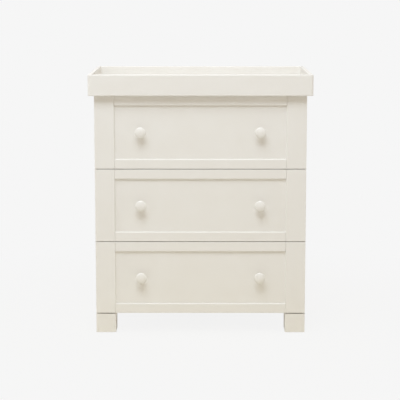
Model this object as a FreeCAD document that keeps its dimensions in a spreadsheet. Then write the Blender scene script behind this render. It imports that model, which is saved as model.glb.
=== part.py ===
import FreeCAD, Part
import math
import os
import re
import Sketcher

# Changing dresser: a three-drawer chest on four block feet, with a shallow changing tray on its top.
# Millimetres. +Z is up, the drawers face and open towards -Y, +X is to the right for someone who faces
# them, and the origin is on the floor under the middle of the tray.

doc = FreeCAD.newDocument("changing_dresser")

# ---------------------------------------------------------------- driving dimensions

SIZES = {
    # changing tray: four mitred walls round a base board
    "tray_width": 850,          # outside, left to right
    "tray_depth": 530,          # outside, front to back
    "total_height": 1000,       # floor to the rim of the tray
    "tray_height": 80,          # of the walls
    "tray_wall": 15,
    "tray_corner": 7.5,         # radius of the outer upright corners
    "rim_round": 3.5,           # radius along both upper edges of a wall
    "hem_round": 2.5,           # radius along the outer lower edge of a wall
    "tray_board": 9,            # base board
    "tray_groove": 5,           # depth of the groove that holds the base board
    "overhang": 22,             # of the tray past the drawer faces, sides and back
    # carcass
    "top_thick": 18,
    "top_play": 1,              # between the top and the tray's walls
    "side_thick": 18,
    "floor_thick": 15,
    "back_thick": 3,
    "back_inset": 8,            # of the back board from the rear edges
    "back_groove": 6,
    "back_play": 0.5,
    "cross_depth": 60,
    "cross_thick": 15,
    # feet
    "foot_height": 75,
    "foot_width": 76,
    "foot_depth": 85,
    "foot_round": 2,
    "glide_radius": 12,
    "glide_thick": 2,
    "glide_round": 0.8,
    # drawer fronts: two stiles, two rails and a panel
    "foot_gap": 3.4,            # under the lowest front
    "top_gap": 1,               # over the highest front
    "front_gap": 2.4,           # between fronts
    "front_thick": 20,
    "front_standoff": 2,        # between a shut front and the carcass
    "stile_width": 76,
    "rail_width": 37,
    "arris_round": 3,           # inner edges of the frame
    "eased_edge": 1.5,          # outer edges of the frame
    "panel_thick": 6,
    "panel_recess": 6.5,
    "panel_groove": 7,
    "panel_play": 0.5,          # at the panel's edges, and at the ends of the tenons
    "groove_fit": 0.1,          # extra width of a groove
    # drawer box
    "box_side": 12,
    "box_height": 190,
    "box_length": 420,
    "box_round": 1.5,
    "bottom_thick": 3.2,
    "bottom_rise": 8,           # of the bottom board over the lower edge of the sides
    "bottom_groove": 6,
    "bottom_tongue": 4.5,       # the bottom board's reach into the front
    "bottom_play": 0.5,
    # knobs and their screws
    "knob_spacing": 455,
    "knob_radius": 21,
    "knob_reach": 28,
    "knob_foot": 11,
    "knob_neck": 8,
    "screw_radius": 2,
    "screw_head": 4,
    "screw_head_thick": 2.4,
    "screw_depth": 14,          # of a knob screw in the knob
    "screw_play": 0.05,
    "screw_way": 0.3,           # round a screw in a clearance hole
    # roller runners
    "floor_clear": 3.4,         # under the lowest runner
    "runner_gap": 12.5,         # from the drawer box to the carcass side
    "runner_length": 400,
    "runner_sheet": 1.2,
    "runner_setback": 3,        # of a channel from the carcass front
    "runner_shelf": 11,         # width of the shelf under a drawer side
    "shelf_drop": 2,            # of the channel's lowest face under the drawer sides
    "shelf_setback": 2,         # of a drawer runner from the back of the front
    "lip_height": 4,
    "lip_clear": 0.4,
    "lift_play": 1.5,           # over the rear rollers
    "flange_play": 1,           # over the drawer runner's flange
    "flange_clear": 2,          # between that flange and the carcass side
    "flange_cut": 30,           # length of flange left off over the rear roller
    "running_gap": 0.3,
    "front_roller": 10,         # radius
    "rear_roller": 12,          # radius
    "roller_width": 6.2,
    "roller_sink": 1.2,         # recess for the head of the axle
    "sink_radius": 5.4,
    "roller_round": 0.8,
    "axle_radius": 3,
    "axle_play": 0.05,
    "axle_head": 4.5,
    "axle_head_thick": 0.8,
    "axle_shoulder": 0.4,
    "end_play": 0.1,
    "axle_inset": 14,           # of an axle from the end of its runner
    # wood screws
    "wood_screw_length": 25,
    "tray_screw_x": 330,
    "tray_screw_y": 180,
    "foot_screw_set": 20,       # in from the carcass side
    "foot_screw_spread": 24,
}

# places worked out from them
PLACES = {
    "half_body": "tray_width / 2 - overhang",
    "half_inside": "half_body - side_thick",
    "body_top": "total_height - tray_height",
    "face_y": "-tray_depth / 2 + overhang",
    "rear_y": "tray_depth / 2 - overhang",
    "carcass_y": "face_y + front_thick + front_standoff",
    "back_y": "rear_y - back_inset - back_thick",
    "front_base": "foot_height + foot_gap",
    "front_height": "(body_top - top_gap - front_base - 2 * front_gap) / 3",
    "front_pitch": "front_height + front_gap",
    "half_rail": "half_body - stile_width",
    "groove_back": "panel_recess + panel_thick + groove_fit",
    "panel_hold": "panel_groove - panel_play",
    "half_box": "half_inside - runner_gap",
    "box_y": "face_y + front_thick",
    "runner_rise": "floor_thick + floor_clear - foot_gap",
    "box_rise": "runner_rise + shelf_drop",
    "channel_inside": "2 * rear_roller + running_gap + lift_play",
    "flange_under": "channel_inside - flange_play",
    "front_axle_z": "flange_under - running_gap - front_roller",
    "rear_axle_z": "runner_sheet + running_gap + rear_roller",
    "channel_face": "half_inside - runner_sheet",
    "roller_out": "channel_face - axle_shoulder - end_play",
    "roller_in": "roller_out - roller_width",
    "lip_in": "roller_in - lip_clear - runner_sheet",
    "runner_face": "half_box + runner_sheet",
    "corner_step": "tray_corner * (1 - 1 / sqrt(2))",
    "foot_screw_x": "half_inside - foot_screw_set",
    "glide_y": "rear_y - foot_depth / 2",
}

NAMES = re.compile(r"[a-z][a-z_]*[a-z]")


def formula(text):
    """An expression on the two sheets, from one written with their bare names."""
    def full(match):
        name = match.group()
        if name in SIZES:
            return "Sizes." + name
        return "Places." + name if name in PLACES else name
    return NAMES.sub(full, text)


def fill(sheet, rows):
    for row, (name, content) in enumerate(rows.items(), start=1):
        sheet.set(f"A{row}", name)
        sheet.set(f"B{row}", str(content))
        sheet.setAlias(f"B{row}", name)


sizes = doc.addObject("Spreadsheet::Sheet", "Sizes")
fill(sizes, SIZES)
places = doc.addObject("Spreadsheet::Sheet", "Places")
fill(places, {name: "=" + formula(text) for name, text in PLACES.items()})
doc.recompute()


def value(text):
    return float(places.evalExpression(formula(text)))


# ---------------------------------------------------------------- ways of making a piece

def body(label, x="0", y="0", z="0", turn=0):
    """A new piece, with its place worked out from the sheets and a turn about Z in degrees."""
    piece = doc.addObject("PartDesign::Body", label)
    piece.Label = label
    piece.Placement = FreeCAD.Placement(FreeCAD.Vector(), FreeCAD.Rotation(FreeCAD.Vector(0, 0, 1), turn))
    for axis, text in zip("xyz", (x, y, z)):
        piece.setExpression(f"Placement.Base.{axis}", formula(text))
    return piece


def origin(piece, role):
    return next(item for item in piece.Origin.OriginFeatures if item.Role == role)


def sketch(piece, plane, offset="0"):
    """A sketch on one of the piece's own planes, moved along its normal."""
    drawing = piece.newObject("Sketcher::SketchObject", "Sketch")
    drawing.AttachmentSupport = [(origin(piece, plane), "")]
    drawing.MapMode = "FlatFace"
    drawing.setExpression("AttachmentOffset.Base.z", formula(offset))
    return drawing


def hold(drawing, kind, edge, point, text):
    """Fixes one coordinate of a point of the sketch to a formula."""
    number = drawing.addConstraint(Sketcher.Constraint(kind, -1, 1, edge, point, value(text)))
    if value(text):
        drawing.setExpression(f"Constraints[{number}]", formula(text))


def curve(start, end, bend):
    """A line, or the shorter arc of radius |bend|, which bulges to the right of its way where bend > 0.
    Also returns which end of the edge is its start."""
    if not bend:
        return Part.LineSegment(start, end), 1, 2
    radius = abs(bend)
    chord = end - start
    across = FreeCAD.Vector(chord.y, -chord.x, 0) / chord.Length
    rise = math.sqrt(radius ** 2 - (chord.Length / 2) ** 2)
    centre = (start + end) / 2 - across * math.copysign(rise, bend)
    angles = [math.atan2(point.y - centre.y, point.x - centre.x) for point in (start, end)]
    circle = Part.Circle(centre, FreeCAD.Vector(0, 0, 1), radius)
    if bend > 0:
        return Part.ArcOfCircle(circle, *angles), 1, 2
    return Part.ArcOfCircle(circle, *reversed(angles)), 2, 1


def outline(drawing, corners):
    """A closed outline through corners (x, y), or (x, y, bend) where an arc leads on to the next one."""
    points = [FreeCAD.Vector(value(corner[0]), value(corner[1]), 0) for corner in corners]
    edges = []
    for number, corner in enumerate(corners):
        bend = value(corner[2]) if len(corner) > 2 else 0
        shape, first, last = curve(points[number], points[(number + 1) % len(points)], bend)
        edge = drawing.addGeometry(shape, False)
        edges.append((edge, first, last))
        if bend:
            radius = drawing.addConstraint(Sketcher.Constraint("Radius", edge, abs(bend)))
            drawing.setExpression(f"Constraints[{radius}]", formula(f"abs({corner[2]})"))
    for number, corner in enumerate(corners):
        before, here = edges[number - 1], edges[number]
        drawing.addConstraint(Sketcher.Constraint("Coincident", before[0], before[2], here[0], here[1]))
        hold(drawing, "DistanceX", here[0], here[1], corner[0])
        hold(drawing, "DistanceY", here[0], here[1], corner[1])
    return drawing


def rectangle(drawing, x_low, x_high, y_low, y_high):
    return outline(drawing, [(x_low, y_low), (x_high, y_low), (x_high, y_high), (x_low, y_high)])


def ring(drawing, x, y, radius):
    """A circle, by itself or as a hole in the outline."""
    edge = drawing.addGeometry(Part.Circle(FreeCAD.Vector(value(x), value(y), 0),
                                           FreeCAD.Vector(0, 0, 1), value(radius)), False)
    number = drawing.addConstraint(Sketcher.Constraint("Radius", edge, value(radius)))
    drawing.setExpression(f"Constraints[{number}]", formula(radius))
    hold(drawing, "DistanceX", edge, 3, x)
    hold(drawing, "DistanceY", edge, 3, y)
    return drawing


def pad(piece, drawing, length, reverse=False):
    feature = piece.newObject("PartDesign::Pad", "Pad")
    feature.Profile = drawing
    feature.setExpression("Length", formula(length))
    feature.Reversed = reverse
    doc.recompute()
    return feature


def pocket(piece, drawing, depth, reverse=False):
    """Takes material away. A cut that points into the air is a mistake, so it is refused."""
    before = piece.Tip.Shape.Volume
    feature = piece.newObject("PartDesign::Pocket", "Pocket")
    feature.Profile = drawing
    feature.setExpression("Length", formula(depth))
    feature.Reversed = reverse
    doc.recompute()
    if feature.Shape.Volume >= before:
        raise ValueError(f"a pocket of {piece.Label} cuts nothing")
    return feature


def turned(piece, drawing, axis):
    feature = piece.newObject("PartDesign::Revolution", "Revolution")
    feature.Profile = drawing
    feature.ReferenceAxis = (drawing, [axis])
    doc.recompute()
    return feature


def edges_at(feature, arcs=False, **at):
    """Names of the edges, straight or arcs, that lie wholly at the given x, y or z."""
    found = []
    for number, edge in enumerate(feature.Shape.Edges, start=1):
        box = edge.BoundBox
        spans = {"x": (box.XMin, box.XMax), "y": (box.YMin, box.YMax), "z": (box.ZMin, box.ZMax)}
        there = all(abs(end - value(text)) < 0.001 for axis, text in at.items() for end in spans[axis])
        if there and isinstance(edge.Curve, Part.Circle if arcs else Part.Line):
            found.append(f"Edge{number}")
    return found


def rounded(piece, radius, *places_at, arcs=False):
    """Rounds the edges at each of the given places."""
    shape = piece.Tip
    names = [name for at in places_at for name in edges_at(shape, **at)]
    if arcs:
        names += [name for at in places_at for name in edges_at(shape, arcs=True, **at)]
    feature = piece.newObject("PartDesign::Fillet", "Fillet")
    feature.Base = (shape, sorted(set(names)))
    feature.setExpression("Radius", formula(radius))
    doc.recompute()
    return feature


def mirrored(piece, plane):
    feature = piece.newObject("PartDesign::Mirrored", "Mirrored")
    feature.MirrorPlane = (origin(piece, plane), [""])
    return feature


def row(piece, axis, spacing, count):
    feature = piece.newObject("PartDesign::LinearPattern", "LinearPattern")
    feature.Direction = (origin(piece, axis), [""])
    feature.Mode = "Spacing"
    feature.setExpression("Offset", formula(spacing))
    feature.Occurrences = count
    return feature


def repeated(piece, originals, *steps):
    """Repeats features by mirrors and rows, each taken by name with its own settings."""
    feature = piece.newObject("PartDesign::MultiTransform", "MultiTransform")
    feature.Originals = originals
    feature.Transformations = [make(piece, *settings) for make, *settings in steps]
    piece.Tip = feature
    doc.recompute()
    return feature


# ---------------------------------------------------------------- changing tray

def tray_wall(label, length, x, y, turn):
    """A wall with its outer face on the piece's own X axis, mitred at both ends, with a groove for the
    base board, a rounded rim and a slightly rounded outer corner at each end."""
    wall = body(label, x, y, "body_top", turn)
    half = f"{length} / 2"
    outline(sketch(wall, "XY_Plane"), [
        (f"-{half} + tray_corner", "0"),
        (f"{half} - tray_corner", "0", "tray_corner"),
        (f"{half} - corner_step", "corner_step"),
        (f"{half} - tray_wall", "tray_wall"),
        (f"-{half} + tray_wall", "tray_wall"),
        (f"-{half} + corner_step", "corner_step", "tray_corner"),
    ])
    pad(wall, wall.Group[-1], "tray_height")
    groove = rectangle(sketch(wall, "YZ_Plane", f"-{half}"), "tray_wall - tray_groove", "tray_wall",
                       "top_thick", "top_thick + tray_board + groove_fit")
    pocket(wall, groove, length, reverse=True)
    rounded(wall, "rim_round", {"y": "0", "z": "tray_height"}, {"y": "tray_wall", "z": "tray_height"})
    rounded(wall, "hem_round", {"y": "0", "z": "0"})


tray_wall("tray_front", "tray_width", "0", "-tray_depth / 2", 0)
tray_wall("tray_back", "tray_width", "0", "tray_depth / 2", 180)
tray_wall("tray_left", "tray_depth", "-tray_width / 2", "0", -90)
tray_wall("tray_right", "tray_depth", "tray_width / 2", "0", 90)


def tray_base():
    """The board under the changing mat. It lies on the top and is held in the walls' grooves."""
    board = body("tray_base", z="body_top + top_thick")
    in_x = "(tray_width / 2 - tray_wall + tray_groove - panel_play)"
    in_y = "(tray_depth / 2 - tray_wall + tray_groove - panel_play)"
    pad(board, rectangle(sketch(board, "XY_Plane"), "-" + in_x, in_x, "-" + in_y, in_y), "tray_board")
    hole = pocket(board, ring(sketch(board, "XY_Plane"), "-tray_screw_x", "-tray_screw_y",
                              "screw_radius + screw_play"),
                  "wood_screw_length - top_thick + end_play", reverse=True)
    repeated(board, [hole], (row, "X_Axis", "tray_screw_x", 3), (row, "Y_Axis", "2 * tray_screw_y", 2))


tray_base()


# ---------------------------------------------------------------- carcass

def top_panel():
    """The dresser's top, inside the tray's walls, with a groove under it for the back board."""
    panel = body("top_panel", z="body_top")
    in_x = "(tray_width / 2 - tray_wall - top_play)"
    in_y = "(tray_depth / 2 - tray_wall - top_play)"
    pad(panel, rectangle(sketch(panel, "XY_Plane"), "-" + in_x, in_x, "-" + in_y, in_y), "top_thick")
    groove_x = "(half_inside + back_groove)"
    pocket(panel, rectangle(sketch(panel, "XY_Plane"), "-" + groove_x, groove_x, "back_y",
                            "back_y + back_thick + groove_fit"), "back_groove", reverse=True)
    hole = pocket(panel, ring(sketch(panel, "XY_Plane"), "-tray_screw_x", "-tray_screw_y",
                              "screw_radius + screw_way"), "top_thick", reverse=True)
    repeated(panel, [hole], (row, "X_Axis", "tray_screw_x", 3), (row, "Y_Axis", "2 * tray_screw_y", 2))


def side_panel(label, side):
    """A carcass side, which stands on two feet and has the groove for the back board."""
    panel = body(label, z="foot_height")
    out_x, in_x = f"{side} * half_body", f"{side} * half_inside"
    deep_x = f"{side} * (half_inside + back_groove)"
    pad(panel, outline(sketch(panel, "XY_Plane"), [
        (out_x, "carcass_y"),
        (in_x, "carcass_y"),
        (in_x, "back_y"),
        (deep_x, "back_y"),
        (deep_x, "back_y + back_thick + groove_fit"),
        (in_x, "back_y + back_thick + groove_fit"),
        (in_x, "rear_y"),
        (out_x, "rear_y"),
    ]), "body_top - foot_height")
    rounded(panel, "eased_edge", {"x": out_x, "y": "carcass_y"}, {"x": out_x, "y": "rear_y"})


def floor_panel():
    """The lowest board, between the sides, with the clearance holes of the feet's screws."""
    panel = body("bottom_panel", z="foot_height")
    pad(panel, rectangle(sketch(panel, "XY_Plane"), "-half_inside", "half_inside", "carcass_y", "back_y"),
        "floor_thick")
    hole = pocket(panel, ring(sketch(panel, "XY_Plane"), "foot_screw_x", "glide_y - foot_screw_spread / 2",
                              "screw_radius + screw_way"), "floor_thick", reverse=True)
    repeated(panel, [hole], (row, "Y_Axis", "foot_screw_spread", 2), (mirrored, "YZ_Plane"),
             (mirrored, "XZ_Plane"))


def back_panel():
    """A thin board that slides down the sides' grooves and ends in the groove of the top."""
    panel = body("back_panel", y="back_y", z="foot_height")
    in_x = "(half_inside + back_groove - back_play)"
    pad(panel, rectangle(sketch(panel, "XZ_Plane"), "-" + in_x, in_x, "0",
                         "body_top - foot_height + back_groove - back_play"), "back_thick", reverse=True)


def cross_rails():
    """Flat rails behind the gaps between the fronts. They keep the sides from bowing."""
    rails = body("cross_rails", z="front_base + front_pitch - front_gap / 2 - cross_thick / 2")
    rail = pad(rails, rectangle(sketch(rails, "XY_Plane"), "-half_inside", "half_inside", "carcass_y",
                                "carcass_y + cross_depth"), "cross_thick")
    repeated(rails, [rail], (row, "Z_Axis", "front_pitch", 2))


top_panel()
side_panel("side_panel_left", -1)
side_panel("side_panel_right", 1)
floor_panel()
back_panel()
cross_rails()


# ---------------------------------------------------------------- feet

def foot(label, side, end):
    """A square block under a corner, flush with the drawer faces or the back, on a thin glide."""
    block = body(label, z="glide_thick")
    out_x, in_x = f"{side} * half_body", f"{side} * (half_body - foot_width)"
    out_y, in_y = f"{end} * rear_y", f"{end} * (rear_y - foot_depth)"
    tall = "(foot_height - glide_thick)"
    pad(block, rectangle(sketch(block, "XY_Plane"), in_x, out_x, in_y, out_y), tall)
    rounded(block, "foot_round", {"x": out_x, "y": out_y}, {"x": out_x, "y": in_y}, {"x": in_x, "y": out_y},
            {"x": in_x, "y": in_y})
    rounded(block, "foot_round / 2", {"z": "0"}, arcs=True)
    hole = pocket(block, ring(sketch(block, "XY_Plane", tall), f"{side} * foot_screw_x",
                              f"{end} * glide_y - foot_screw_spread / 2", "screw_radius + screw_play"),
                  "wood_screw_length - floor_thick + end_play")
    repeated(block, [hole], (row, "Y_Axis", "foot_screw_spread", 2))


foot("foot_front_left", -1, -1)
foot("foot_front_right", 1, -1)
foot("foot_rear_left", -1, 1)
foot("foot_rear_right", 1, 1)


def foot_glides():
    """A round plastic glide nailed under the middle of each foot."""
    glides = body("foot_glides")
    glide = pad(glides, ring(sketch(glides, "XY_Plane"), "half_body - foot_width / 2", "glide_y",
                             "glide_radius"), "glide_thick")
    rim = rounded(glides, "glide_round", {"z": "0"}, arcs=True)
    repeated(glides, [glide, rim], (mirrored, "YZ_Plane"), (mirrored, "XZ_Plane"))


foot_glides()


# ---------------------------------------------------------------- screws

def screw(piece, drawing, axis_x, seat, way, length):
    """A round-headed screw, turned about an upright line of its sketch. The head sits at the height of
    the seat, and the shank goes up or down from there, as way is 1 or -1."""
    line = Part.LineSegment(FreeCAD.Vector(value(axis_x), 0, 0), FreeCAD.Vector(value(axis_x), 10, 0))
    axis = drawing.addGeometry(line, True)
    drawing.addConstraint(Sketcher.Constraint("Vertical", axis))
    hold(drawing, "DistanceX", axis, 1, axis_x)
    outline(drawing, [
        (axis_x, f"{seat} + {way} * {length}"),
        (f"{axis_x} + screw_radius", f"{seat} + {way} * {length}"),
        (f"{axis_x} + screw_radius", seat),
        (f"{axis_x} + screw_head", seat),
        (f"{axis_x} + screw_head", f"{seat} - {way} * screw_head_thick / 3", f"{-way} * screw_head"),
        (f"{axis_x} + screw_head / 2", f"{seat} - {way} * screw_head_thick"),
        (axis_x, f"{seat} - {way} * screw_head_thick"),
    ])
    return turned(piece, drawing, "Axis0")


def wood_screws():
    """Screws of one size: six up through the top into the tray's base board, and two down through the
    floor into each foot."""
    screws = body("wood_screws")
    up = screw(screws, sketch(screws, "XZ_Plane", "tray_screw_y"), "-tray_screw_x", "body_top", 1,
               "wood_screw_length")
    repeated(screws, [up], (row, "X_Axis", "tray_screw_x", 3), (row, "Y_Axis", "2 * tray_screw_y", 2))
    down = screw(screws, sketch(screws, "XZ_Plane", "glide_y + foot_screw_spread / 2"), "foot_screw_x",
                 "(foot_height + floor_thick)", -1, "wood_screw_length")
    repeated(screws, [down], (row, "Y_Axis", "foot_screw_spread", 2), (mirrored, "YZ_Plane"),
             (mirrored, "XZ_Plane"))


wood_screws()


# ---------------------------------------------------------------- drawer fronts

def stile(label, base, side):
    """An upright of a drawer front, with its groove for the panel and for the rails' tenons."""
    upright = body(label, y="face_y", z=base)
    out_x, in_x = f"{side} * half_body", f"{side} * half_rail"
    deep_x = f"{side} * (half_rail + panel_groove)"
    pad(upright, outline(sketch(upright, "XY_Plane"), [
        (out_x, "0"),
        (in_x, "0"),
        (in_x, "panel_recess"),
        (deep_x, "panel_recess"),
        (deep_x, "groove_back"),
        (in_x, "groove_back"),
        (in_x, "front_thick"),
        (out_x, "front_thick"),
    ]), "front_height")
    rounded(upright, "arris_round", {"x": in_x, "y": "0"})
    rounded(upright, "eased_edge", {"x": out_x, "y": "0"}, {"y": "0", "z": "0"},
            {"y": "0", "z": "front_height"})


def rail(label, base, foot_up, bottom_slot):
    """A rail of a drawer front, drawn from its outer edge inwards, with a stub tenon at each end. The
    lowest one is also slotted behind for the drawer's bottom board."""
    across = body(label, y="face_y", z=base)
    z = (lambda height: height) if foot_up else (lambda height: f"front_height - ({height})")
    corners = [("0", z("0")), ("front_thick", z("0"))]
    if bottom_slot:
        slot = "box_rise + bottom_rise"
        corners += [
            ("front_thick", z(slot)),
            ("front_thick - bottom_tongue - bottom_play", z(slot)),
            ("front_thick - bottom_tongue - bottom_play", z(f"{slot} + bottom_thick + groove_fit")),
            ("front_thick", z(f"{slot} + bottom_thick + groove_fit")),
        ]
    corners += [
        ("front_thick", z("rail_width")),
        ("groove_back", z("rail_width")),
        ("groove_back", z("rail_width - panel_groove")),
        ("panel_recess", z("rail_width - panel_groove")),
        ("panel_recess", z("rail_width")),
        ("0", z("rail_width")),
    ]
    pad(across, outline(sketch(across, "YZ_Plane", "-half_rail"), corners), "2 * half_rail")
    rounded(across, "arris_round", {"y": "0", "z": z("rail_width")})
    rounded(across, "eased_edge", {"y": "0", "z": z("0")})
    tenon = rectangle(sketch(across, "YZ_Plane", "-half_rail - panel_hold"), "panel_recess",
                      "panel_recess + panel_thick", z("0"), z("rail_width - panel_groove"))
    pad(across, tenon, "2 * (half_rail + panel_hold)")


def panel(label, base):
    """The flat panel, loose in the grooves of its frame, with the holes of the knobs' screws."""
    sheet = body(label, y="face_y + panel_recess", z=base)
    drawing = rectangle(sketch(sheet, "XZ_Plane"), "-half_rail - panel_hold", "half_rail + panel_hold",
                        "rail_width - panel_hold", "front_height - rail_width + panel_hold")
    for side in (-1, 1):
        ring(drawing, f"{side} * knob_spacing / 2", "front_height / 2", "screw_radius + screw_way")
    pad(sheet, drawing, "panel_thick", reverse=True)


def knobs(label, base):
    """Two turned mushroom knobs on the panel, each with a blind hole for its screw."""
    pair = body(label, "-knob_spacing / 2", "face_y + panel_recess", f"{base} + front_height / 2")
    turned(pair, outline(sketch(pair, "XY_Plane"), [
        ("screw_radius + screw_play", "0"),
        ("screw_radius + screw_play", "-screw_depth - end_play"),
        ("0", "-screw_depth - end_play"),
        ("0", "-knob_reach", "knob_radius * 2.4"),
        ("knob_radius * 0.86", "-knob_reach * 0.87", "knob_radius * 0.34"),
        ("knob_radius", "-knob_reach * 0.75", "knob_radius * 0.25"),
        ("knob_radius * 0.86", "-knob_reach * 0.64", "-knob_radius * 0.9"),
        ("knob_neck", "-knob_reach * 0.3", "-knob_foot * 0.7"),
        ("knob_foot", "-knob_reach * 0.06"),
        ("knob_foot", "0"),
    ]), "V_Axis")
    repeated(pair, [pair.Tip], (row, "X_Axis", "knob_spacing", 2))


def knob_screws(label, base):
    """The knobs' screws, put in from behind the panel."""
    pair = body(label, "-knob_spacing / 2", "face_y + panel_recess", f"{base} + front_height / 2")
    screw(pair, sketch(pair, "XY_Plane"), "0", "panel_thick", -1, "(panel_thick + screw_depth)")
    repeated(pair, [pair.Tip], (row, "X_Axis", "knob_spacing", 2))


# ---------------------------------------------------------------- drawer boxes

def box_side(label, base, side):
    """A drawer side, grooved for the bottom board, with its upper edges rounded."""
    board = body(label, y="box_y", z=f"{base} + box_rise")
    out_x, in_x = f"{side} * half_box", f"{side} * (half_box - box_side)"
    deep_x = f"{side} * (half_box - box_side + bottom_groove)"
    pad(board, outline(sketch(board, "XZ_Plane"), [
        (out_x, "0"),
        (in_x, "0"),
        (in_x, "bottom_rise"),
        (deep_x, "bottom_rise"),
        (deep_x, "bottom_rise + bottom_thick + groove_fit"),
        (in_x, "bottom_rise + bottom_thick + groove_fit"),
        (in_x, "box_height"),
        (out_x, "box_height"),
    ]), "box_length", reverse=True)
    rounded(board, "box_round", {"x": out_x, "z": "box_height"}, {"x": in_x, "z": "box_height"})


def box_back(label, base):
    """The back of a drawer, between its sides and on its bottom board."""
    board = body(label, y="box_y", z=f"{base} + box_rise")
    low = "bottom_rise + bottom_thick"
    pad(board, rectangle(sketch(board, "XY_Plane", low), "-half_box + box_side", "half_box - box_side",
                         "box_length - box_side", "box_length"), f"box_height - ({low})")
    rounded(board, "box_round", {"y": "box_length - box_side", "z": "box_height"},
            {"y": "box_length", "z": "box_height"})


def box_bottom(label, base):
    """The bottom board: in the sides' grooves, under the back, and with a tongue in the front's rail."""
    board = body(label, y="box_y", z=f"{base} + box_rise + bottom_rise")
    wide = "(half_box - box_side + bottom_groove - bottom_play)"
    tongue = "(half_rail - bottom_play)"
    pad(board, outline(sketch(board, "XY_Plane"), [
        ("-" + tongue, "-bottom_tongue"),
        (tongue, "-bottom_tongue"),
        (tongue, "groove_fit"),
        (wide, "groove_fit"),
        (wide, "box_length"),
        ("-" + wide, "box_length"),
        ("-" + wide, "groove_fit"),
        ("-" + tongue, "groove_fit"),
    ]), "bottom_thick")


# ---------------------------------------------------------------- roller runners

def disc(piece, x, height, y, z, radius, reverse=False):
    """A round boss along X, from x on."""
    return pad(piece, ring(sketch(piece, "YZ_Plane", x), y, z, radius), height, reverse)


def cabinet_runners():
    """Channels on the carcass sides, with a lip that keeps the rear roller on its track and the riveted
    axle of a front roller."""
    channels = body("cabinet_runners", y="carcass_y + runner_setback", z="front_base + runner_rise")
    top = "(channel_inside + 2 * runner_sheet)"
    channel = pad(channels, outline(sketch(channels, "XZ_Plane"), [
        ("half_inside", "0"),
        ("half_inside", top),
        ("lip_in", top),
        ("lip_in", "channel_inside + runner_sheet"),
        ("channel_face", "channel_inside + runner_sheet"),
        ("channel_face", "runner_sheet"),
        ("lip_in + runner_sheet", "runner_sheet"),
        ("lip_in + runner_sheet", "lip_height"),
        ("lip_in", "lip_height"),
        ("lip_in", "0"),
    ]), "runner_length", reverse=True)
    at = ("axle_inset", "front_axle_z")
    end = "roller_in + roller_sink - end_play"
    steps = [
        disc(channels, "channel_face", "axle_shoulder", *at, "axle_head", reverse=True),
        disc(channels, "channel_face", f"channel_face - ({end})", *at, "axle_radius", reverse=True),
        disc(channels, end, "axle_head_thick", *at, "axle_head", reverse=True),
    ]
    repeated(channels, [channel, *steps], (mirrored, "YZ_Plane"), (row, "Z_Axis", "front_pitch", 3))


def drawer_runners(label, base):
    """Runners under a drawer's sides: a shelf that carries the side, a flange that rides on the front
    roller, and the riveted axle of the rear roller."""
    pair = body(label, y="box_y + shelf_setback", z=f"{base} + runner_rise")
    tip = "half_inside - flange_clear"
    angle = pad(pair, outline(sketch(pair, "XZ_Plane"), [
        ("half_box - runner_shelf", "shelf_drop - runner_sheet"),
        ("runner_face", "shelf_drop - runner_sheet"),
        ("runner_face", "flange_under"),
        (tip, "flange_under"),
        (tip, "flange_under + runner_sheet"),
        ("half_box", "flange_under + runner_sheet"),
        ("half_box", "shelf_drop"),
        ("half_box - runner_shelf", "shelf_drop"),
    ]), "runner_length", reverse=True)
    cut = pocket(pair, rectangle(sketch(pair, "XY_Plane", "flange_under"), "runner_face", tip,
                                 "runner_length - flange_cut", "runner_length"), "runner_sheet", reverse=True)
    at = ("runner_length - axle_inset", "rear_axle_z")
    end = "(roller_out - roller_sink + end_play)"
    steps = [
        disc(pair, "runner_face", "roller_in - end_play - runner_face", *at, "axle_head"),
        disc(pair, "runner_face", f"{end} - runner_face", *at, "axle_radius"),
        disc(pair, end, "axle_head_thick", *at, "axle_head"),
    ]
    repeated(pair, [angle, cut, *steps], (mirrored, "YZ_Plane"))


def rollers(label, y, z, radius, sunk_x, way):
    """Two nylon rollers, one each side, bored for their axles and sunk on one face for the axle's head.
    The sunk face is at sunk_x, and way points from there into the roller."""
    pair = body(label, y=y, z=z)
    far_x = f"{sunk_x} + {way} * roller_width"
    bore, sink = "axle_radius + axle_play", f"{sunk_x} + {way} * roller_sink"
    turned(pair, outline(sketch(pair, "XZ_Plane"), [
        (sunk_x, "sink_radius"),
        (sunk_x, f"{radius} - roller_round", f"{-way} * roller_round"),
        (f"{sunk_x} + {way} * roller_round", radius),
        (f"{far_x} - {way} * roller_round", radius, f"{-way} * roller_round"),
        (far_x, f"{radius} - roller_round"),
        (far_x, bore),
        (sink, bore),
        (sink, "sink_radius"),
    ]), "H_Axis")
    repeated(pair, [pair.Tip], (mirrored, "YZ_Plane"))


cabinet_runners()
for number, name in enumerate(("bottom_drawer", "middle_drawer", "top_drawer")):
    base = f"(front_base + {number} * front_pitch)"
    stile(name + "_left_stile", base, -1)
    stile(name + "_right_stile", base, 1)
    rail(name + "_top_rail", base, foot_up=False, bottom_slot=False)
    rail(name + "_bottom_rail", base, foot_up=True, bottom_slot=True)
    panel(name + "_panel", base)
    knobs(name + "_knobs", base)
    knob_screws(name + "_knob_screws", base)
    box_side(name + "_left_side", base, -1)
    box_side(name + "_right_side", base, 1)
    box_back(name + "_back", base)
    box_bottom(name + "_bottom", base)
    drawer_runners(name + "_runners", base)
    rollers(name + "_rear_rollers", "box_y + shelf_setback + runner_length - axle_inset",
            f"{base} + runner_rise + rear_axle_z", "rear_roller", "roller_out", -1)
    rollers(name + "_cabinet_rollers", "carcass_y + runner_setback + axle_inset",
            f"{base} + runner_rise + front_axle_z", "front_roller", "roller_in", 1)


# ---------------------------------------------------------------- checks and files

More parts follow.
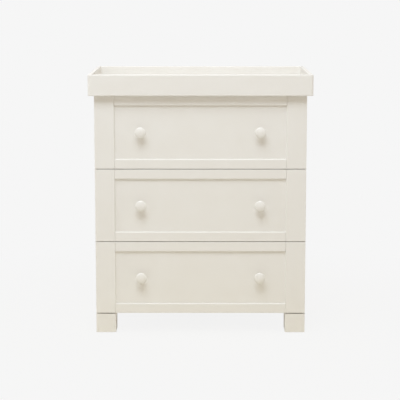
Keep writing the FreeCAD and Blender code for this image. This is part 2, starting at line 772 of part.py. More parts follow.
doc.recompute()
for item in doc.Objects:
    if "Invalid" in item.State or "Error" in item.State:
        raise RuntimeError(f"{item.Label} ({item.Name}) failed: {item.State}")
pieces = [item for item in doc.Objects if item.isDerivedFrom("PartDesign::Body")]
for piece in pieces:
    if piece.Shape.isNull() or not piece.Shape.isValid():
        raise RuntimeError(f"{piece.Label} has no valid shape")
os.makedirs("parts", exist_ok=True)
for piece in pieces:
    piece.Shape.exportStep(f"parts/{piece.Label}.step")
print(len(pieces), "pieces")
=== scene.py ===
# A changing dresser in satin ivory paint: three drawers on roller runners under a shallow changing tray.
# The frame holds the pieces themselves. This script gives them their finishes and the small fastenings.
import math

import bmesh
import bpy
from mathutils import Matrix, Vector


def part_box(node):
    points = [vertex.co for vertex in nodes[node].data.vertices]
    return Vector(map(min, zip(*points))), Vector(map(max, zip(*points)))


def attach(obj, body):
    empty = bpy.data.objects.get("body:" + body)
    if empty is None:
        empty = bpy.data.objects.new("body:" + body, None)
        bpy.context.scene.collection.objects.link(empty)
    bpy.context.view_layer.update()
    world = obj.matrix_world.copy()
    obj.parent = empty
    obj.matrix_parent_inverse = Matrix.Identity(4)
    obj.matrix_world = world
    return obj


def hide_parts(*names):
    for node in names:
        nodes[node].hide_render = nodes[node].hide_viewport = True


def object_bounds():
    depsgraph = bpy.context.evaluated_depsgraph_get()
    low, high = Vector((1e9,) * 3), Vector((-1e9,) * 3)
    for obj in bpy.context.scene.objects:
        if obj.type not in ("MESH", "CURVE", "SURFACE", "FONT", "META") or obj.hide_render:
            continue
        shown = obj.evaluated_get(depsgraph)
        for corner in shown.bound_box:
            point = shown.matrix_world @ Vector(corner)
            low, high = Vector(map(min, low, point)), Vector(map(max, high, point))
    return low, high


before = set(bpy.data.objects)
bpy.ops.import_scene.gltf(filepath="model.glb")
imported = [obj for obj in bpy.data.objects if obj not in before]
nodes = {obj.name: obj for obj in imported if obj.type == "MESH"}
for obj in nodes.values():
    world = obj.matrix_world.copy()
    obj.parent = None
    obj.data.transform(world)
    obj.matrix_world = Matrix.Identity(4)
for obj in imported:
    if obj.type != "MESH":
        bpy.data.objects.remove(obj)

solid_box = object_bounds()

# ---------------------------------------------------------------- the view
# The dresser is seen square on, from a little over the height of its tray, through a long lens. The
# camera is tipped down, so the uprights lean together slightly towards the floor.

MM = 0.001
CAMERA_PLACE = Vector((7.4, -5600, 1358.6)) * MM
CAMERA_DIP = math.radians(8.89)
CAMERA_TURN = math.radians(0.1)
CAMERA_LENS = 127.7

camera = bpy.data.objects.new("camera", bpy.data.cameras.new("camera"))
camera.data.lens = CAMERA_LENS
camera.location = CAMERA_PLACE
camera.rotation_euler = (math.pi / 2 - CAMERA_DIP, 0, CAMERA_TURN)
bpy.context.scene.collection.objects.link(camera)
bpy.context.scene.camera = camera
bpy.context.scene.view_settings.view_transform = "Standard"


# ---------------------------------------------------------------- the studio
# A pale paper floor that runs out into a backdrop of the same tone, so no horizon shows. One large soft
# lamp hangs high above the front and a weak one stands at each side, all cooler than the pale room.

class Signal:
    """One output of a node. Arithmetic on signals adds Math nodes to the tree that they are in."""

    def __init__(self, tree, socket):
        self.tree, self.socket = tree, socket

    def __getitem__(self, name):
        """Another output of the same node."""
        return Signal(self.tree, socket_named(self.socket.node.outputs, name))

    def maths(self, operation, *values):
        return self.tree.node("ShaderNodeMath", {"operation": operation}, dict(enumerate(values)))

    def __add__(self, other):
        return self.maths("ADD", self, other)

    def __rsub__(self, other):
        return self.maths("SUBTRACT", other, self)

    def __mul__(self, other):
        return self.maths("MULTIPLY", self, other)

    def __truediv__(self, other):
        return self.maths("DIVIDE", self, other)

    def __pow__(self, other):
        return self.maths("POWER", self, other)

    __radd__ = __add__
    __rmul__ = __mul__

    def held(self):
        """Kept between 0 and 1."""
        return self.tree.node("ShaderNodeClamp", values={"Value": self})


def socket_named(sockets, name):
    """A node's usable socket by its name, its identifier or its number."""
    if isinstance(name, int):
        return sockets[name]
    return next(socket for socket in sockets if socket.enabled and name in (socket.name, socket.identifier))


class Tree:
    """The node tree of a finish, of the room or of a set of fastenings."""

    def __init__(self, tree):
        self.tree = tree
        tree.nodes.clear()

    def node(self, kind, settings=None, values=None):
        """Adds a node, sets it up, fills its sockets with values or signals and gives its first output."""
        made = self.tree.nodes.new(kind)
        for name, setting in (settings or {}).items():
            setattr(made, name, setting)
        for name, value in (values or {}).items():
            socket = socket_named(made.inputs, name)
            for item in value if isinstance(value, list) else [value]:
                if isinstance(item, Signal):
                    self.tree.links.new(item.socket, socket)
                else:
                    socket.default_value = item
        outputs = [socket for socket in made.outputs if socket.enabled]
        return Signal(self, outputs[0]) if outputs else None


def colour(red, green, blue):
    """A colour written as it should look on a screen, from 0 to 255, turned into light."""
    def light(level):
        level /= 255
        return level / 12.92 if level <= 0.04045 else ((level + 0.055) / 1.055) ** 2.4
    return (light(red), light(green), light(blue), 1)


def blended(tree, factor, first, second):
    """A colour between two."""
    return tree.node("ShaderNodeMix", {"data_type": "RGBA"},
                     {"Factor_Float": factor, "A_Color": first, "B_Color": second})["Result_Color"]


PAPER = colour(246, 246, 246)
ROOM_LIGHT = 0.53
ROOM_TINT = colour(255, 240, 217)
LAMP_TINT = colour(228, 240, 255)
FLOOR_FAR = colour(230, 229, 226)
FLOOR_NEAR = colour(234, 227, 205)     # warmer round the dresser
FLOOR_RADIUS = 7.0
FLOOR_CORNERS = 96
SHADOW_SHARE = 0.06             # of the floor's tone in the middle that the lamps make
SHADOW_REACH = 1.6              # metres from the middle, where the last of that share ends


def backdrop_rays(tree):
    """1 for what looks at the backdrop: the camera, and rays off gloss or through glass."""
    rays = tree.node("ShaderNodeLightPath")
    return (rays["Is Camera Ray"] + rays["Is Glossy Ray"] + rays["Is Transmission Ray"]).held()


room = bpy.data.worlds.new("studio_room")
room.use_nodes = True
bpy.context.scene.world = room
air = Tree(room.node_tree)
glow = air.node("ShaderNodeBackground", values={"Color": ROOM_TINT, "Strength": ROOM_LIGHT})
paper = air.node("ShaderNodeBackground", values={"Color": PAPER, "Strength": 1})
seen = air.node("ShaderNodeMixShader", values={0: backdrop_rays(air), 1: glow, 2: paper})
air.node("ShaderNodeOutputWorld", values={"Surface": seen})

floor = bpy.data.objects.new("paper_floor", bpy.data.meshes.new("paper_floor"))
disc = bmesh.new()
bmesh.ops.create_circle(disc, cap_ends=True, segments=FLOOR_CORNERS, radius=FLOOR_RADIUS)
disc.to_mesh(floor.data)
disc.free()
bpy.context.scene.collection.objects.link(floor)
floor_finish = bpy.data.materials.new("paper_floor")
floor_finish.use_nodes = True
sheet = Tree(floor_finish.node_tree)
away = sheet.node("ShaderNodeVectorMath", {"operation": "LENGTH"},
                  {0: sheet.node("ShaderNodeTexCoord")["Object"]})["Value"]
near = (1 - away / SHADOW_REACH).held()
lit = sheet.node("ShaderNodeBsdfDiffuse", values={"Color": blended(sheet, near, FLOOR_FAR, FLOOR_NEAR)})
tone = sheet.node("ShaderNodeEmission", values={"Color": PAPER, "Strength": 1})
shown = sheet.node("ShaderNodeMixShader", values={0: near * SHADOW_SHARE, 1: tone, 2: lit})
faced = sheet.node("ShaderNodeMixShader", values={0: backdrop_rays(sheet), 1: lit, 2: shown})
clear = sheet.node("ShaderNodeBsdfTransparent")
under = sheet.node("ShaderNodeNewGeometry")["Backfacing"]
sheet.node("ShaderNodeOutputMaterial",
           values={"Surface": sheet.node("ShaderNodeMixShader", values={0: under, 1: faced, 2: clear})})
floor.data.materials.append(floor_finish)


def softbox(name, bearing, height, distance, width, length, watts):
    """A soft lamp aimed at the middle of the dresser. The bearing is in degrees to the left of the
    camera and the height in degrees over the floor."""
    lamp = bpy.data.objects.new(name, bpy.data.lights.new(name, "AREA"))
    lamp.data.shape = "RECTANGLE"
    lamp.data.size, lamp.data.size_y = width, length
    lamp.data.energy = watts
    lamp.data.color = LAMP_TINT[:3]
    side, up = math.radians(bearing), math.radians(height)
    way = Vector((-math.sin(side) * math.cos(up), -math.cos(side) * math.cos(up), math.sin(up)))
    aim = (solid_box[0] + solid_box[1]) / 2
    lamp.location = aim + way * distance
    lamp.rotation_mode = "QUATERNION"
    lamp.rotation_quaternion = way.to_track_quat("Z", "Y")
    bpy.context.scene.collection.objects.link(lamp)


softbox("overhead_softbox", bearing=12, height=59.5, distance=4.4, width=3.0, length=1.9, watts=146)
softbox("left_softbox", bearing=85, height=28, distance=4.0, width=2.0, length=2.0, watts=32)
softbox("right_softbox", bearing=-85, height=28, distance=4.0, width=2.0, length=2.0, watts=13)


# ---------------------------------------------------------------- carcass
# Two sides, a floor and a top of medium-density board, and two timber cross rails behind the gaps between
# the drawers. All are sprayed with satin ivory paint after sanding, and the floor and the rails have their
# arrises eased.

IVORY = colour(233, 230, 224)
IVORY_THIN = colour(229, 225, 217)     # where the coat lies thinner
SATIN = (0.46, 0.54)                   # roughness of the paint, where it is smoothest and roughest
PAINT_BEND = 1.5                       # its index of refraction
COAT_DRIFT = 110 * MM                  # from a fuller to a thinner stretch of the coat
SHEEN_DRIFT = COAT_DRIFT / 3
PEEL = 1.6 * MM                        # between the dimples that spraying leaves
PEEL_DEPTH = 0.012 * MM
GRAIN_WIDTH = 3.5 * MM
GRAIN_STRETCH = 14                     # length of the grain that shows through, over its width
GRAIN_DEPTH = 0.01 * MM
GRAIN_SHARE = 0.25                     # of the coat's change of tone that follows the grain
BOARD_EASE = 0.8 * MM
EASED_STEPS = 2
EASED_ANGLE = math.radians(40)
LOOSE_POINTS = 0.01 * MM               # between points of the frame's loose triangles that are one


def cloud(tree, place, cell, detail=2, stretch=(1, 1, 1)):
    """Soft noise from 0 to 1 with cells of that many metres, drawn out by the stretch."""
    scaled = tree.node("ShaderNodeVectorMath", {"operation": "MULTIPLY"},
                       {0: place, 1: tuple(1 / (cell * part) for part in stretch)})
    return tree.node("ShaderNodeTexNoise", values={"Vector": scaled, "Scale": 1, "Detail": detail})


def drawn_out(axis, length):
    """A stretch along one axis."""
    return tuple(length if name == axis else 1 for name in "xyz")


def varied(span, signal):
    """A number that goes from the first to the second of a span as a signal goes from 0 to 1."""
    first, second = span
    return first + signal * (second - first)


def raised(tree, height, depth, under=None):
    """A bumpy surface with that depth in metres from a height between 0 and 1."""
    values = {"Height": height, "Distance": depth, "Strength": 1}
    if under is not None:
        values["Normal"] = under
    return tree.node("ShaderNodeBump", values=values)


def finished(name):
    """A new finish, its tree and the place on the object's surface."""
    finish = bpy.data.materials.new(name)
    finish.use_nodes = True
    tree = Tree(finish.node_tree)
    return finish, tree, tree.node("ShaderNodeTexCoord")["Object"]


def coated(tree, **values):
    """Ends a finish with its surface."""
    surface = tree.node("ShaderNodeBsdfPrincipled",
                        values={name.replace("_", " "): value for name, value in values.items()})
    tree.node("ShaderNodeOutputMaterial", values={"Surface": surface})


def ivory_paint(name, grain=None, roughness=SATIN):
    """Satin paint on board, or on timber with its grain along an axis."""
    finish, tree, place = finished(name)
    coat = cloud(tree, place, COAT_DRIFT, detail=3)
    surface = raised(tree, cloud(tree, place, PEEL, detail=1), PEEL_DEPTH)
    sheen = cloud(tree, place, SHEEN_DRIFT)
    if grain:
        fibre = cloud(tree, place, GRAIN_WIDTH, detail=3, stretch=drawn_out(grain, GRAIN_STRETCH))
        surface = raised(tree, fibre, GRAIN_DEPTH, under=surface)
        coat = (coat * (1 - GRAIN_SHARE) + fibre * GRAIN_SHARE).held()
    coated(tree, Base_Color=blended(tree, coat, IVORY_THIN, IVORY), Roughness=varied(roughness, sheen),
           Normal=surface, IOR=PAINT_BEND)
    return finish


def dress(finish, *names):
    """Gives CAD nodes their finish."""
    for name in names:
        for slot in nodes[name].material_slots:
            slot.material = finish


def eased(width, *names):
    """Breaks the sharp edges of CAD nodes, as sanding or folding leaves them."""
    for name in names:
        joined = nodes[name].modifiers.new("joined", "WELD")
        joined.merge_threshold = LOOSE_POINTS
        edge = nodes[name].modifiers.new("eased", "BEVEL")
        edge.width = width
        edge.segments = EASED_STEPS
        edge.limit_method = "ANGLE"
        edge.angle_limit = EASED_ANGLE


ivory_board = ivory_paint("ivory_board")
ivory_across = ivory_paint("ivory_timber_across", grain="x")
ivory_upright = ivory_paint("ivory_timber_upright", grain="z")
ivory_deep = ivory_paint("ivory_timber_deep", grain="y")
dress(ivory_board, "side_panel_left", "side_panel_right", "bottom_panel", "top_panel")
dress(ivory_across, "cross_rails")
eased(BOARD_EASE, "bottom_panel", "cross_rails")


# ---------------------------------------------------------------- feet and glides
# Four square timber blocks, painted like the carcass, each with its grain upright. Each stands on a round
# polyethylene glide, so that the dresser slides without marking the floor.

GLIDE_GREY = colour(158, 153, 144)
GLIDE_SCUFFED = colour(140, 135, 127)
GLIDE_ROUGHNESS = (0.45, 0.65)
SCUFF = 4 * MM
SCUFF_DEPTH = 0.04 * MM


def polyethylene():
    finish, tree, place = finished("glide_polyethylene")
    scuffs = cloud(tree, place, SCUFF, detail=4)
    coated(tree, Base_Color=blended(tree, scuffs, GLIDE_SCUFFED, GLIDE_GREY),
           Roughness=varied(GLIDE_ROUGHNESS, scuffs), Normal=raised(tree, scuffs, SCUFF_DEPTH))
    return finish


dress(ivory_upright, "foot_front_left", "foot_front_right", "foot_rear_left", "foot_rear_right")
dress(polyethylene(), "foot_glides")


# ---------------------------------------------------------------- back board
# Three-millimetre hardboard with a pale lacquer, which slides down the grooves of the sides. Panel pins
# hold its lower edge to the floor board. The fibre shows through the lacquer as a fine mottle.

LACQUER = colour(228, 224, 213)
LACQUER_FIBRE = colour(208, 200, 182)
LACQUER_ROUGHNESS = (0.42, 0.62)
LACQUER_DRIFT = 200 * MM
LACQUER_DRIFT_SHARE = 0.2
FIBRE = 0.9 * MM
FIBRE_STRETCH = 3
FIBRE_SHARE = 0.9
FIBRE_DEPTH = 0.03 * MM


def lacquered_hardboard(name):
    """Thin board whose fibres lie mostly across the dresser."""
    finish, tree, place = finished(name)
    fibres = cloud(tree, place, FIBRE, detail=3, stretch=drawn_out("x", FIBRE_STRETCH))
    drift = cloud(tree, place, LACQUER_DRIFT)
    thin = (fibres ** 2 * FIBRE_SHARE + drift * LACQUER_DRIFT_SHARE).held()
    coated(tree, Base_Color=blended(tree, thin, LACQUER, LACQUER_FIBRE),
           Roughness=varied(LACQUER_ROUGHNESS, fibres), Normal=raised(tree, fibres, FIBRE_DEPTH))
    return finish


ZINC = colour(222, 221, 212)
ZINC_BLUE = colour(196, 198, 196)
ZINC_ROUGHNESS = (0.24, 0.44)
BLOOM = 1.2 * MM                # between the crystals of the plate
BLOOM_DEPTH = 0.006 * MM


def zinc_plate():
    finish, tree, place = finished("bright_zinc_plate")
    bloom = cloud(tree, place, BLOOM, detail=3)
    coated(tree, Base_Color=blended(tree, bloom, ZINC_BLUE, ZINC), Metallic=1.0,
           Roughness=varied(ZINC_ROUGHNESS, bloom), Normal=raised(tree, bloom, BLOOM_DEPTH))
    return finish


zinc = zinc_plate()
dress(lacquered_hardboard("lacquered_back_board"), "back_panel")

# Shares that every fastening is made to
CROSS_WIDTH = 0.28              # half the width of a cross's arm, over the arm's length
CROSS_BOTTOM = 0.45             # size of the cross at its bottom, over that in the face
FLAT_RISE = 0.12                # rise of a countersunk face in its middle, over the head's depth
ROUND_RIM = 0.35                # height of a round head at its rim, over that in its middle
FACE_RINGS = (0.62, 0.82, 0.95, 1)     # over the head's radius
FACE_CURVE = 0.98               # 1 would bend a face down to its rim in a quarter of a circle
TURN_RINGS = 6                  # rings of points to one turn of a thread
PLAIN_RINGS = 2                 # and along a plain shank
CREST = 0.32                    # half the width of a thread's crest, over its pitch
POINT_LENGTH = 0.12             # of a screw's point, over its shank's
POINT_RADIUS = 0.25             # of its end, over the shank's
SHARP_ANGLE = math.radians(38)
QUARTER_TURN = math.pi / 2      # from one arm of the cross to the next
TINY = 1e-9                     # keeps a division clear of 0


def cross_angles():
    """Angles that meet every corner of a cross, with one in the middle of each side."""
    outer = math.atan(CROSS_WIDTH)
    inner = QUARTER_TURN / 2
    quarter = (0, outer, (inner + outer) / 2, inner, (3 * inner - outer) / 2, QUARTER_TURN - outer)
    return [angle + turn * QUARTER_TURN for turn in range(4) for angle in quarter]


ANGLES = cross_angles()


def cross_radius(angle, arm):
    """Outline of a cross, as a radius at each angle."""
    half_width = arm * CROSS_WIDTH
    along, across = max(abs(math.cos(angle)), TINY), max(abs(math.sin(angle)), TINY)
    return max(min(arm / along, half_width / across), min(half_width / along, arm / across))


def shank_radius(angle, height, shank, pitch, thread):
    """Outline of a plain or a threaded shank, as a radius at each angle and height."""
    if not pitch:
        return shank
    turn = (height / pitch - angle / (2 * math.pi)) % 1
    return shank - thread + thread * max(0, 1 - abs(turn - 0.5) / CREST)


def ring_at(mesh, radii, height):
    """A ring of points about Z, with one radius or with a list of one for each angle."""
    if not isinstance(radii, list):
        radii = [radii] * len(ANGLES)
    return [mesh.verts.new((radius * math.cos(angle), radius * math.sin(angle), height))
            for angle, radius in zip(ANGLES, radii)]


def skin(mesh, rings):
    """A closed shell over rings of equally many points, listed from the top down."""
    for upper, lower in zip(rings, rings[1:]):
        for number in range(len(upper)):
            before = number - 1
            mesh.faces.new((upper[before], lower[before], lower[number], upper[number]))
    for ring, way in ((rings[0], 1), (rings[-1], -1)):
        middle = mesh.verts.new((0, 0, sum(point.co.z for point in ring) / len(ring)))
        for number in range(len(ring)):
            pair = (ring[number - 1], ring[number])[::way]
            mesh.faces.new((*pair, middle))


def fastening(name, head, head_height, shank, length, pitch=0.0, thread=0.0, countersunk=False, cross=0.0,
              sink=0.6):
    """A screw, pin or cam about Z. Its seat is at z = 0 with the head over it and the shank under it, and
    a countersunk one has its rim there instead. A thread is a helix of that depth and pitch, and a cross
    is sunk in the face, to a share of the head's radius and height."""
    if countersunk:
        face, rim, neck = head_height * FLAT_RISE, 0, -head_height
    else:
        face, rim, neck = head_height, head_height * ROUND_RIM, 0
    mesh = bmesh.new()
    rings = []
    if cross:
        outline = [cross_radius(angle, head * cross) for angle in ANGLES]
        bottom = [radius * CROSS_BOTTOM for radius in outline]
        rings.append(ring_at(mesh, bottom, face - head_height * sink))
        rings.append(ring_at(mesh, outline, face))
    for share in FACE_RINGS:
        bend = 1 - math.sqrt(1 - share ** 2 * FACE_CURVE)
        rings.append(ring_at(mesh, head * share, face - (face - rim) * bend))
    if countersunk:
        rings.append(ring_at(mesh, shank, neck))
    else:
        rings.append(ring_at(mesh, head, neck))
        rings.append(ring_at(mesh, shank - thread, neck))
    reach = length + neck
    steps = round(reach / pitch * TURN_RINGS) if pitch else PLAIN_RINGS
    for step in range(1, steps + 1):
        height = neck - reach * step / steps
        width = min(1, (steps - step) / (steps * POINT_LENGTH)) if pitch else 1
        narrowed = POINT_RADIUS + (1 - POINT_RADIUS) * width
        rings.append(ring_at(mesh, [shank_radius(angle, height, shank, pitch, thread) * narrowed
                                    for angle in ANGLES], height))
    skin(mesh, rings)
    data = bpy.data.meshes.new(name)
    mesh.to_mesh(data)
    mesh.free()
    data.shade_smooth()
    data.set_sharp_from_angle(angle=SHARP_ANGLE)
    return data


def rows_tree():
    """Sets a fastening out in rows, and sets the rows out again on the other side of the dresser."""
    group = bpy.data.node_groups.new("fastenings_in_rows", "GeometryNodeTree")
    inputs = {"Fastening": "NodeSocketGeometry", "Start": "NodeSocketVector", "Step": "NodeSocketVector",
              "Count": "NodeSocketInt", "Row step": "NodeSocketVector", "Row count": "NodeSocketInt",
              "Facing": "NodeSocketVector", "Both sides": "NodeSocketBool", "Finish": "NodeSocketMaterial"}
    for name, kind in inputs.items():
        group.interface.new_socket(name=name, in_out="INPUT", socket_type=kind)
    group.interface.new_socket(name="Rows", in_out="OUTPUT", socket_type="NodeSocketGeometry")
    tree = Tree(group)
    given = tree.node("NodeGroupInput")
    row = tree.node("GeometryNodeMeshLine", {"mode": "OFFSET"},
                    {"Count": given["Count"], "Start Location": given["Start"], "Offset": given["Step"]})
    starts = tree.node("GeometryNodeMeshLine", {"mode": "OFFSET"},
                       {"Count": given["Row count"], "Offset": given["Row step"]})
    places = tree.node("GeometryNodeRealizeInstances", values={
        "Geometry": tree.node("GeometryNodeInstanceOnPoints", values={"Points": starts, "Instance": row})})
    other = tree.node("GeometryNodeTransform", values={"Geometry": places, "Scale": (-1, 1, 1)})
    both = tree.node("GeometryNodeSwitch", {"input_type": "GEOMETRY"},
                     {"Switch": given["Both sides"], "True": other})
    places = tree.node("GeometryNodeJoinGeometry", values={"Geometry": [places, both]})
    across = tree.node("ShaderNodeSeparateXYZ", values={0: tree.node("GeometryNodeInputPosition")})["X"]
    way = tree.node("ShaderNodeSeparateXYZ", values={0: given["Facing"]})
    side = across.maths("SIGN", across)
    facing = tree.node("ShaderNodeCombineXYZ", values={"X": way["X"] * side, "Y": way["Y"], "Z": way["Z"]})
    turned = tree.node("FunctionNodeAlignRotationToVector", {"axis": "Z"}, {"Vector": facing})
    set_out = tree.node("GeometryNodeInstanceOnPoints", values={
        "Points": places, "Instance": given["Fastening"], "Rotation": turned})
    whole = tree.node("GeometryNodeRealizeInstances", values={"Geometry": set_out})
    made = tree.node("GeometryNodeSetMaterial", values={"Geometry": whole, "Material": given["Finish"]})
    tree.node("NodeGroupOutput", values={"Rows": made})
    return group


ROWS = rows_tree()
ALONE = ((0, 0, 0), 1)
OUTWARDS, INWARDS, BACKWARDS = (1, 0, 0), (-1, 0, 0), (0, 1, 0)
UPWARDS, DOWNWARDS = (0, 0, 1), (0, 0, -1)


def fix(name, mesh, start, facing, finish, body, row=ALONE, rows=ALONE, both=True):
    """A set of like fastenings: a step and a count within a row and another from row to row, on both sides
    of the dresser or once. For both sides, the start and the facing are those of the right-hand one."""
    piece = bpy.data.objects.new(name, mesh)
    bpy.context.scene.collection.objects.link(piece)
    modifier = piece.modifiers.new("rows", "NODES")
    modifier.node_group = ROWS
    values = {"Start": start, "Step": row[0], "Count": row[1], "Row step": rows[0], "Row count": rows[1],
              "Facing": facing, "Both sides": both, "Finish": finish}
    for socket in ROWS.interface.items_tree:
        if socket.name in values:
            modifier[socket.identifier] = values[socket.name]
    graph = bpy.context.evaluated_depsgraph_get()
    plain = bpy.data.meshes.new_from_object(piece.evaluated_get(graph), depsgraph=graph)
    piece.modifiers.clear()
    piece.data = plain
    plain.name = name
    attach(piece, body)
    return piece


BACK_PIN_COUNT = 9
BACK_PIN_FROM_END = 22 * MM

pin = fastening("panel_pin", head=1.6 * MM, head_height=0.35 * MM, shank=0.7 * MM, length=14 * MM)
back_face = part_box("back_panel")[1].y
floor_low, floor_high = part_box("bottom_panel")
pin_end = floor_high.x - BACK_PIN_FROM_END
fix("back_board_pins", pin, (-pin_end, back_face, (floor_low.z + floor_high.z) / 2), BACKWARDS, zinc,
    "dresser", row=((2 * pin_end / (BACK_PIN_COUNT - 1), 0, 0), BACK_PIN_COUNT), both=False)


# ---------------------------------------------------------------- changing tray
# Four timber walls, mitred and glued, with a rounded rim that is pleasant to the arm. They hold a base
# board in a groove. Six wood screws come up into it through the top, so the tray can be taken off later.

dress(ivory_across, "tray_front", "tray_back")
dress(ivory_deep, "tray_left", "tray_right")
dress(ivory_board, "tray_base")

SCREW_HEAD = 4 * MM
SCREW_HEAD_HEIGHT = 2.4 * MM
SCREW_SHANK = 2 * MM
SCREW_CROSS = 0.55
WOOD_PITCH = 1.8 * MM
TRAY_SCREW_X = 330 * MM         # from the middle, where a third pair stands
TRAY_SCREW_Y = 180 * MM
FOOT_SCREW_STEP = 24 * MM       # between the two screws of a foot

wood_screw = fastening("wood_screw", SCREW_HEAD, SCREW_HEAD_HEIGHT, SCREW_SHANK, length=25 * MM,
                       pitch=WOOD_PITCH, thread=0.55 * MM, cross=SCREW_CROSS)
screws_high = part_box("wood_screws")[1]
tray_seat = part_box("top_panel")[0].z
foot_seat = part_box("bottom_panel")[1].z
foot_screw_x = screws_high.x - SCREW_HEAD
foot_screw_y = screws_high.y - SCREW_HEAD
tray_screws = fix("tray_screws", wood_screw, (-TRAY_SCREW_X, -TRAY_SCREW_Y, tray_seat), DOWNWARDS, zinc,
                  "dresser", row=((TRAY_SCREW_X, 0, 0), 3), rows=((0, 2 * TRAY_SCREW_Y, 0), 2),
                  both=False)
foot_screws = fix("foot_screws", wood_screw, (foot_screw_x, foot_screw_y, foot_seat), UPWARDS, zinc,
                  "dresser", row=((0, -FOOT_SCREW_STEP, 0), 2),
                  rows=((0, FOOT_SCREW_STEP - 2 * foot_screw_y, 0), 2))
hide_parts("wood_screws")
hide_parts("wood_screws")


# ---------------------------------------------------------------- cabinet runners
# Channels of folded steel sheet in white epoxy powder, one on each side for each drawer. Flat screws hold
# them to the sides, and a nylon roller turns on a riveted axle at the front of each.

SHEET = 1.2 * MM
SHEET_EASE = 0.4 * MM
RUNNER_SCREW_FIRST = 37 * MM           # from the front end of a runner
RUNNER_SCREW_STEP = 144 * MM
RUNNER_SCREW_COUNT = 3
POWDER = colour(240, 240, 236)
POWDER_THIN = colour(234, 234, 230)
POWDER_ROUGHNESS = (0.34, 0.44)
POWDER_DRIFT = 30 * MM
GRIT = 0.6 * MM
GRIT_DEPTH = 0.02 * MM
NYLON = colour(240, 239, 231)
NYLON_SHADED = colour(232, 231, 222)
NYLON_ROUGHNESS = (0.3, 0.42)
NYLON_MILK = 0.2                       # share of the light that passes under its surface
NYLON_MILK_DEPTH = 3 * MM
FLOW = 3 * MM                          # between the flow marks of the mould
FLOW_DEPTH = 0.01 * MM


def epoxy_powder():
    finish, tree, place = finished("white_epoxy_powder")
    grit = cloud(tree, place, GRIT)
    drift = cloud(tree, place, POWDER_DRIFT)
    coated(tree, Base_Color=blended(tree, drift, POWDER_THIN, POWDER),
           Roughness=varied(POWDER_ROUGHNESS, grit), Normal=raised(tree, grit, GRIT_DEPTH))
    return finish


def moulded_nylon():
    finish, tree, place = finished("moulded_nylon")
    flow = cloud(tree, place, FLOW)
    coated(tree, Base_Color=blended(tree, flow, NYLON_SHADED, NYLON), Roughness=varied(NYLON_ROUGHNESS, flow),
           Subsurface_Weight=NYLON_MILK, Subsurface_Scale=NYLON_MILK_DEPTH,
           Normal=raised(tree, flow, FLOW_DEPTH))
    return finish


drawers = ("bottom_drawer", "middle_drawer", "top_drawer")
runner_steel = epoxy_powder()
nylon = moulded_nylon()
dress(runner_steel, "cabinet_runners")
eased(SHEET_EASE, "cabinet_runners")
for drawer in drawers:
    dress(nylon, drawer + "_cabinet_rollers")

runner_screw = fastening("runner_screw", head=3.6 * MM, head_height=2.2 * MM, shank=1.8 * MM, length=14 * MM,
                         pitch=WOOD_PITCH, thread=0.45 * MM, countersunk=True, cross=0.5, sink=0.7)
runners_low, runners_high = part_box("cabinet_runners")
middle_of = {name: sum(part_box(name), Vector()) / 2 for name in nodes}
lowest_rollers = middle_of["bottom_drawer_rear_rollers"].z
drawer_step = middle_of["middle_drawer_rear_rollers"].z - lowest_rollers
fix("cabinet_runner_screws", runner_screw,
    (runners_high.x - SHEET, runners_low.y + RUNNER_SCREW_FIRST, lowest_rollers), INWARDS, zinc,
    "dresser", row=((0, RUNNER_SCREW_STEP, 0), RUNNER_SCREW_COUNT),
    rows=((0, 0, drawer_step), len(drawers)))


# ---------------------------------------------------------------- drawers
# Each front is two timber stiles and two timber rails round a flat board panel, painted like the carcass.
# Behind it is a box of foiled board with a lacquered hardboard bottom, on a pair of roller runners.

HAND_POLISHED = (0.34, 0.42)           # roughness of the paint on the knobs
FOIL = colour(231, 228, 219)
FOIL_GRAIN = colour(223, 218, 205)
FOIL_ROUGHNESS = (0.4, 0.52)
FIGURE_WIDTH = 9 * MM
FIGURE_STRETCH = 30
FIGURE_SHARE = 0.7
PORE_WIDTH = 0.7 * MM
PORE_STRETCH = 26
PORE_SHARE = 0.9
PORE_DEPTH = 0.03 * MM
CAM_FROM_FRONT = 24 * MM
CAM_FROM_EDGE = 62 * MM                # from the lower edge of a drawer's side to the lower cam
CAM_STEP = 84 * MM
BOX_SCREW_FROM_EDGE = 48 * MM
BOX_SCREW_STEP = 56 * MM
BOX_SCREW_COUNT = 3
BOTTOM_PIN_STEP = 140 * MM
BOTTOM_PIN_COUNT = 5
SHELF_SCREW_INSET = 5.5 * MM           # of a drawer runner's screws, from the outside of the box


def printed_foil(name, grain):
    """Pale foil with a faint printed wood grain along an axis, and pores pressed into it."""
    finish, tree, place = finished(name)
    figure = cloud(tree, place, FIGURE_WIDTH, detail=3, stretch=drawn_out(grain, FIGURE_STRETCH))
    pressed = cloud(tree, place, PORE_WIDTH, detail=1, stretch=drawn_out(grain, PORE_STRETCH))
    pores = pressed ** 3
    print_tone = (figure * FIGURE_SHARE + pores * PORE_SHARE).held()
    coated(tree, Base_Color=blended(tree, print_tone, FOIL, FOIL_GRAIN),
           Roughness=varied(FOIL_ROUGHNESS, pressed), Normal=raised(tree, 1 - pores, PORE_DEPTH))
    return finish


foil_deep = printed_foil("foil_grain_deep", "y")
foil_across = printed_foil("foil_grain_across", "x")
drawer_board = lacquered_hardboard("lacquered_drawer_bottom")
ivory_knob = ivory_paint("ivory_knob", roughness=HAND_POLISHED)
knob_screw = fastening("knob_screw", SCREW_HEAD, SCREW_HEAD_HEIGHT, SCREW_SHANK, length=20 * MM,
                       pitch=0.8 * MM, thread=0.35 * MM, cross=SCREW_CROSS)
cam = fastening("cam", head=7.5 * MM, head_height=0.5 * MM, shank=7 * MM, length=9 * MM, cross=0.62, sink=2.4)
box_screw = fastening("box_screw", head=3.4 * MM, head_height=2 * MM, shank=1.9 * MM, length=34 * MM,
                      pitch=2.2 * MM, thread=0.5 * MM, countersunk=True, cross=0.5, sink=0.7)

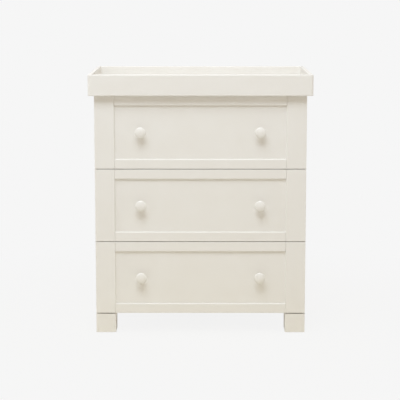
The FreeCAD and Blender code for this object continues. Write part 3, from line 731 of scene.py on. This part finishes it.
for drawer in drawers:
    dress(ivory_upright, drawer + "_left_stile", drawer + "_right_stile")
    dress(ivory_across, drawer + "_top_rail", drawer + "_bottom_rail")
    dress(ivory_board, drawer + "_panel")
    dress(ivory_knob, drawer + "_knobs")
    dress(foil_deep, drawer + "_left_side", drawer + "_right_side")
    dress(foil_across, drawer + "_back")
    dress(drawer_board, drawer + "_bottom")
    dress(runner_steel, drawer + "_runners")
    dress(nylon, drawer + "_rear_rollers")
    eased(SHEET_EASE, drawer + "_back", drawer + "_left_side", drawer + "_right_side", drawer + "_runners")

    knob_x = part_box(drawer + "_knob_screws")[1].x - SCREW_HEAD
    knob_z = middle_of[drawer + "_knob_screws"].z
    panel_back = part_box(drawer + "_panel")[1].y
    knob_screws = fix(drawer + "_knob_screw_pair", knob_screw, (knob_x, panel_back, knob_z), BACKWARDS,
                      zinc, drawer)
    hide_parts(drawer + "_knob_screws")

    side_low, side_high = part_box(drawer + "_right_side")
    back_y = middle_of[drawer + "_back"].y
    fix(drawer + "_cams", cam, (side_high.x, side_low.y + CAM_FROM_FRONT, side_low.z + CAM_FROM_EDGE),
        OUTWARDS, zinc, drawer, rows=((0, 0, CAM_STEP), 2))
    fix(drawer + "_box_screws", box_screw, (side_high.x, back_y, side_low.z + BOX_SCREW_FROM_EDGE),
        OUTWARDS, zinc, drawer, rows=((0, 0, BOX_SCREW_STEP), BOX_SCREW_COUNT))

    first_pin = -BOTTOM_PIN_STEP * (BOTTOM_PIN_COUNT - 1) / 2
    under_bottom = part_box(drawer + "_bottom")[0].z
    fix(drawer + "_bottom_pins", pin, (first_pin, back_y, under_bottom), DOWNWARDS, zinc, drawer,
        row=((BOTTOM_PIN_STEP, 0, 0), BOTTOM_PIN_COUNT), both=False)

    shelf_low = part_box(drawer + "_runners")[0]
    fix(drawer + "_runner_screws", runner_screw,
        (side_high.x - SHELF_SCREW_INSET, shelf_low.y + RUNNER_SCREW_FIRST, shelf_low.z), DOWNWARDS, zinc,
        drawer, row=((0, RUNNER_SCREW_STEP, 0), RUNNER_SCREW_COUNT))
